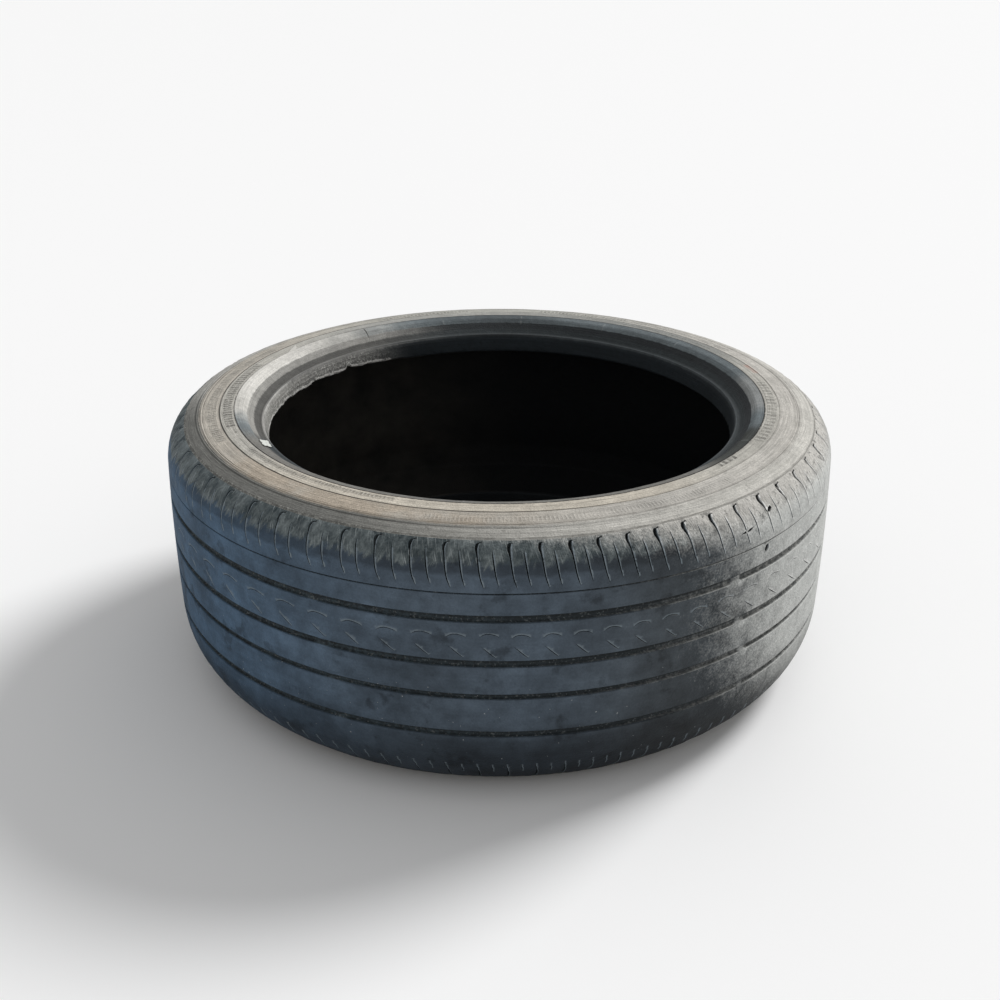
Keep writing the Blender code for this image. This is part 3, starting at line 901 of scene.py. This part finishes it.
def side_material(name, level=1.0):
    """Tan sidewall under dust, with wear streaks, rings and fields of fine serrations."""
    g = Graph(name, roughness=0.9, specular=0.2)
    clouds, patches, mottle = g.noise(46, 4), g.noise(11, 4), g.noise(4.5, 5, roughness=0.7)
    grain, speckle = g.noise(1.5, 3), g.noise(0.7, 2)
    long_streaks, short_streaks, fine = g.streaks(26, 1.3), g.streaks(7, 0.8), g.streaks(2.5, 0.55)
    ring = shoulder(UPPER, SHOULDERS[UPPER][2])[0] - RING_INSET
    left = g.turn(25, 0) * g.turn(-118, -98)
    fading = g.turn(30, -8) * g.turn(-178, -140)
    off_front = abs(g.degrees)

    brown = g.arc(-46, -10, 22) * g.step(clouds, 0.25, 0.7)
    middle = g.coated(
        (0.462, 0.43, 0.378), ((0.5, 0.48, 0.442), g.turn(-10, 30)),
        ((0.39, 0.328, 0.258), brown * 0.75), ((0.41, 0.405, 0.37), g.step(off_front, 115, 170)))
    inner = g.coated(
        (0.455, 0.44, 0.4), ((0.56, 0.515, 0.44), g.arc(-34, 24, 26)),
        ((0.36, 0.357, 0.335), g.step(off_front, 112, 150)),
        ((0.26, 0.262, 0.248), g.arc(122, 150, 20)))
    behind = (0.425, 0.415, 0.39)
    outer = g.mix((0.165, 0.165, 0.154), (0.54, 0.525, 0.485), g.turn(-32, 28))
    outer = g.coated(outer, (behind, g.turn(-78, -101)), (behind, g.turn(135, 175)))

    wander = 1.8 * (patches - 0.5) + 0.5 * (mottle - 0.5)
    colour = g.coated(
        inner, (middle, g.step(g.radius + wander, INNER_RING_RADIUS - 1, INNER_RING_RADIUS + 1)),
        (outer, g.step(g.radius + wander, ring - 2.4, ring + 1.0)))
    shade = varied((clouds, 0.28), (long_streaks, 0.4), (short_streaks, 0.28), (patches, 0.24),
                   (grain, 0.36), (speckle, 0.2), (fine, 0.22))
    stains = g.step(mottle + 0.5 * (clouds - 0.5) + 0.4 * (long_streaks - 0.5), 0.68, 0.95)
    near_bead = g.step(g.radius, 276, 262)
    stains = stains * (0.26 + 0.26 * near_bead * left * g.turn(-92, -72))
    colour = g.scaled(colour, shade * level * (1 - stains))
    colour = g.mix(colour, (0.6, 0.58, 0.53), g.step(mottle - 1.5 * stains, 0.74, 1.0) * 0.5 * level)

    fields, lines = 0.0, 0.0
    for start, end, low, high, pitch, strength in SERRATIONS:
        field = g.arc(start, end, 0.5) * g.ring(low, high, 0.4) * strength
        wave = g.math("SINE", g.degrees * (2 * math.pi * pitch) + 2.2 * (patches - 0.5))
        fields = field + fields
        lines = field * g.step(wave, -0.2, 0.6) + lines
    worn = 0.25 + 0.75 * g.step(mottle + 0.6 * (patches - 0.5), 0.75, 0.35)
    lines = lines * worn
    colour = g.mix(colour, (0.56, 0.545, 0.5), lines * 0.42 * level)
    colour = g.scaled(colour, 1 - 0.42 * worn * (fields - lines))

    # Darker lines along the rings, the inner edge and the step to the shoulder, and the chipped edge
    # beyond it
    dark_lines = g.ring(272.5, 273.5, 0.4) * (0.35 + 0.8 * short_streaks) * (0.3 + 0.7 * fading)
    for off, strength in ((-4.1, 0.1), (-1.6, 0.75), (0.1, 0.0), (2.6, 0.2)):
        strength = strength + (0.8 - strength) * fading
        line = g.ring(ring + off - 0.3, ring + off + 0.3, 0.4)
        dark_lines = dark_lines + line * short_streaks * strength
    dark_lines = dark_lines + 0.4 * g.step(g.radius, 305.2, 306.2) * (1 - left)
    dark_lines = dark_lines + 0.85 * g.step(g.radius, 260.0, 259.2) * g.step(mottle, 0.2, 0.5)
    colour = g.scaled(colour, 1 - g.math("MINIMUM", dark_lines, 0.88))
    chips = g.step(g.radius + 1.2 * (mottle - 0.5), 304.6, 305.4) * left
    chips = chips * g.step(g.noise(3.0, 3, roughness=0.65), 0.45, 0.75)

    # A torn tag of flange rubber that lies over the rim protector, and a reddish smear
    foot, tip, low, high = TAG
    share = (g.radius - low) / (high - low)
    tag = abs(g.degrees - (share * (tip - foot) + foot)) + share * 1.4
    tag = g.step(tag, 1.75, 1.55) * g.step(g.radius, high, high - 0.6)
    reddish = g.arc(103, 107, 1.5) * g.ring(269, 274, 1.0) * patches
    colour = g.coated(
        colour, ((0.4, 0.4, 0.375), chips * 0.7 * level), ((0.62, 0.605, 0.565), tag * level),
        ((0.4, 0.2, 0.15), reddish * 0.8 * level))
    bump = 0.5 * grain + 0.2 * speckle + 0.5 * long_streaks + 0.4 * short_streaks + 0.6 * mottle
    return g.finish(colour, bump + 0.5 * fine + 1.3 * lines + 1.5 * tag, 0.5)


# Faint radial marks on the flange face: azimuth of one in degrees, and their pitch
VENT_MARKS = (-119.6, 22.6)


def bead_material(name, level=1.0):
    """Bead and rim flange face: pale on the left, with dust and painted sunlight, and dark on the right
    and at the back as painted shade.
    """
    g = Graph(name, roughness=0.7, specular=0.25)
    clouds, patches, mottle = g.noise(30, 4), g.noise(6, 4), g.noise(2.6, 4, roughness=0.7)
    grain, speckle = g.noise(1.1, 3), g.noise(0.6, 2)
    long_streaks, short_streaks = g.streaks(20, 1.2), g.streaks(5, 0.7)
    wander = 0.7 * (patches - 0.5)
    around = g.degrees + 7 * (clouds - 0.5)
    left = g.step(around, -160, -128) * g.step(around, -68, -82)
    hollow_left = g.step(around, -168, -140) * g.step(around, -60, -72)
    front = g.arc(-60, 40, 12)
    back = g.step(abs(g.degrees), 155, 178)

    # From the outside in: flange face, slope, floor of the hollow, ridge and seat; their colours round
    # the tyre hold painted sunlight and shade, and the hollow is darker as painted shade
    flange = g.coated(
        (0.14, 0.165, 0.176), ((0.51, 0.497, 0.463), left),
        ((0.68, 0.662, 0.62), g.arc(-118, -96, 12)), ((0.26, 0.27, 0.268), g.arc(84, 97, 8)),
        ((0.034, 0.038, 0.035), g.arc(46, 66, 7)), ((0.17, 0.165, 0.152), front),
        ((0.085, 0.1, 0.108), back))
    slope = g.coated(
        (0.025, 0.029, 0.032), ((0.295, 0.288, 0.268), hollow_left), ((0.13, 0.126, 0.116), front))
    floor = g.mix((0.031, 0.038, 0.041), (0.085, 0.083, 0.077), hollow_left)
    ridge_left = g.mix((0.21, 0.206, 0.194), (0.39, 0.38, 0.357), g.turn(-100, -76))
    # A painted highlight along the ridge's inner edge at the left, and painted shade on the ridge at
    # the back
    bright = g.band(g.degrees + 6 * (patches - 0.5), -107, -88, 4) * g.ring(231.3, 232.3, 0.4)
    ridge = g.coated(
        (0.055, 0.064, 0.069),
        (ridge_left, hollow_left * (0.5 + 0.5 * g.step(long_streaks, 0.2, 0.6))),
        ((0.64, 0.628, 0.596), 0.5 * bright))
    ridge = g.scaled(ridge, 1 - 0.6 * back)
    seat_dust_and_sunlight = g.mix((0.205, 0.203, 0.19), (0.32, 0.314, 0.292), g.turn(-122, -92))
    gritty = g.step(mottle + 0.5 * (grain - 0.5), 0.25, 0.95)
    seat_dust_and_sunlight = g.scaled(seat_dust_and_sunlight, varied((gritty, 0.56)))
    flakes = g.step(mottle, 0.62, 0.8) * g.band(g.degrees + 6 * (patches - 0.5), -137, -121, 4)
    seat_dust_and_sunlight = g.mix(seat_dust_and_sunlight, (0.52, 0.508, 0.48), 0.75 * flakes)
    seat = g.mix((0.013, 0.018, 0.022), seat_dust_and_sunlight, g.turn(-155, -134) * g.turn(-64, -84))

    colour = g.mix(slope, flange, g.step(g.radius + wander, 246.3, 247.3))
    colour = g.mix(floor, colour, g.step(g.radius + wander, 240.2, 241.8))
    colour = g.mix(ridge, colour, g.step(g.radius + 0.6 * wander, 233.4, 234.6))
    colour = g.mix(seat, colour, g.step(g.height + wander, 106.6, 108.8))
    shade = varied((clouds, 0.32), (long_streaks, 0.36), (short_streaks, 0.28), (patches, 0.32),
                   (grain, 0.32), (speckle, 0.2))
    stains = g.step(mottle + 0.5 * (clouds - 0.5), 0.7, 1.0)
    colour = g.scaled(colour, shade * level * (1 - 0.3 * stains))

    # Faint radial marks across the flange face, a ragged toe with a pale raw edge, and the crack,
    # painted dark as its shade
    mark, spacing = VENT_MARKS
    turn = g.math("FRACT", (g.degrees - (mark - 20.5 * spacing)) / spacing)
    marks = g.band(turn, 0.494, 0.506, 0.006) * g.ring(246.5, 256.5, 1)
    colour = g.mix(colour, (0.4, 0.41, 0.4), marks * 0.22 * g.step(patches, 0.2, 0.6))
    torn = g.attribute("torn")
    crumbled = g.step(torn, 0.05, 0.5) * g.arc(-141, -100, 16)
    colour = g.scaled(colour, 1 + crumbled * (mottle - 0.5) * 0.9)
    raw = g.step(torn + 0.04 * (mottle - 0.5), 0.93, 0.985)
    raw = raw * g.step(patches + 0.4 * (grain - 0.5), 0.2, 0.5)
    colour = g.coated(
        colour, ((0.62, 0.61, 0.58), 0.9 * raw),
        ((0.02, 0.02, 0.018), g.step(g.attribute("cut"), 0.1, 0.6) * 0.95),
        ((0.5, 0.49, 0.46), g.step(g.attribute("lip"), 0.5, 0.95) * left * 0.7))
    edge_line = g.step(g.radius, 258.0, 258.7) * g.mix(0.88, 0.25, left, "FLOAT")
    colour = g.scaled(colour, 1 - edge_line)
    bump = 0.5 * grain + 0.25 * speckle + 0.4 * long_streaks + 0.5 * patches + 0.35 * mottle
    return g.finish(colour, bump + 2.2 * crumbled * mottle, 0.5)


def liner_material():
    """Nearly black inside, a little lighter at the left."""
    g = Graph("liner_rubber", roughness=0.6, specular=0.15)
    clouds, grain = g.noise(40, 3), g.noise(1.5, 3)
    lighter = g.step(g.unit[0], 0.2, -0.7) * (0.2 + 0.8 * clouds)
    colour = g.mix((0.005, 0.006, 0.007), (0.052, 0.048, 0.041), lighter)
    return g.finish(colour, grain, 0.4)


def label_material():
    """Off-white paper, dirty in patches."""
    g = Graph("label_white", roughness=0.75, specular=0.2)
    patches, grain = g.noise(3.5, 4), g.noise(0.5, 2)
    colour = g.coated(
        (0.66, 0.68, 0.64), ((0.54, 0.545, 0.505), g.step(patches, 0.4, 0.9)),
        ((0.34, 0.33, 0.3), g.step(grain + 0.5 * patches, 1.2, 1.5)))
    return g.finish(colour, grain + patches, 0.25)


# What the floor and the world lend the tyre, and how pale the camera sees them
FLOOR_LIGHT, FLOOR_SEEN = 0.55, 0.93
WORLD_LIGHT, WORLD_SEEN = 0.5, 0.94
FLOOR_HALF_SIZE, FLOOR_DROP = 30.0, 0.0005  # metres
SUN_ELEVATION, SUN_SPREAD = math.radians(38), math.radians(20)
SUN_POWER = 2.6

# The photo's camera. The focal length is given as a share of the sensor's width.
CAMERA_PLACE = (0.0005, -1.1864, 0.6904)
CAMERA_DIP = math.radians(25.24)
SENSOR_WIDTH, FOCAL_SHARE = 36, 1.2697


def by_camera(owner, shader, name, lent, seen):
    """Makes this input of a shader lent, or seen to the camera. owner is a material or a world."""
    owner.use_nodes = True
    nodes, links = owner.node_tree.nodes, owner.node_tree.links
    choice = nodes.new("ShaderNodeMapRange")
    choice.inputs["To Min"].default_value, choice.inputs["To Max"].default_value = lent, seen
    links.new(nodes.new("ShaderNodeLightPath").outputs["Is Camera Ray"], choice.inputs["Value"])
    links.new(choice.outputs["Result"], nodes[shader].inputs[name])
    return nodes[shader]


def build_stage():
    """A plain pale floor. To the camera it is nearly white, and what it lends the tyre is less."""
    size = FLOOR_HALF_SIZE
    floor = add_mesh("floor", [(-size, -size, 0), (size, -size, 0), (size, size, 0), (-size, size, 0)],
                     [(0, 1, 2, 3)])
    floor.location.z = -FLOOR_DROP
    pale = bpy.data.materials.new("pale_floor")
    shader = by_camera(pale, "Principled BSDF", "Base Color", FLOOR_LIGHT, FLOOR_SEEN)
    shader.inputs["Roughness"].default_value = 1.0
    floor.data.materials.append(pale)


def build_lights():
    world = bpy.data.worlds.new("studio")
    bpy.context.scene.world = world
    background = by_camera(world, "Background", "Strength", WORLD_LIGHT, WORLD_SEEN)
    background.inputs["Color"].default_value = (1, 1, 1, 1)
    sun = bpy.data.lights.new("key", "SUN")
    sun.energy = SUN_POWER
    sun.angle = SUN_SPREAD
    towards = direction(SUN_AZIMUTH, SUN_ELEVATION)
    add_object("key", sun).rotation_euler = towards.to_track_quat("Z", "Y").to_euler()


def build_camera():
    data = bpy.data.cameras.new("camera")
    data.sensor_width = SENSOR_WIDTH
    data.lens = SENSOR_WIDTH * FOCAL_SHARE
    camera = add_object("camera", data)
    camera.location = CAMERA_PLACE
    camera.rotation_euler = (math.pi / 2 - CAMERA_DIP, 0, 0)
    bpy.context.scene.camera = camera


section = build_section()
side, bead, liner = side_material("sidewall"), bead_material("bead"), liner_material()
# The lower sidewall and bead are copies of the upper ones, darkened by their level as painted shade
low_side, low_bead = side_material("lower_sidewall", 0.6), bead_material("lower_bead", 0.5)
tyre = build_tyre(section, {
    "liner": liner, "bead": bead, "side": side, "tread": tread_material(), "low_side": low_side,
    "low_bead": low_bead, "low_liner": liner})
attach(tyre, "root")
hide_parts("tyre")

label = build_label(section, label_material())
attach(label, "root")
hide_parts("label_scrap")

build_stage()
build_lights()
build_camera()
bpy.context.scene.view_settings.view_transform = "Standard"
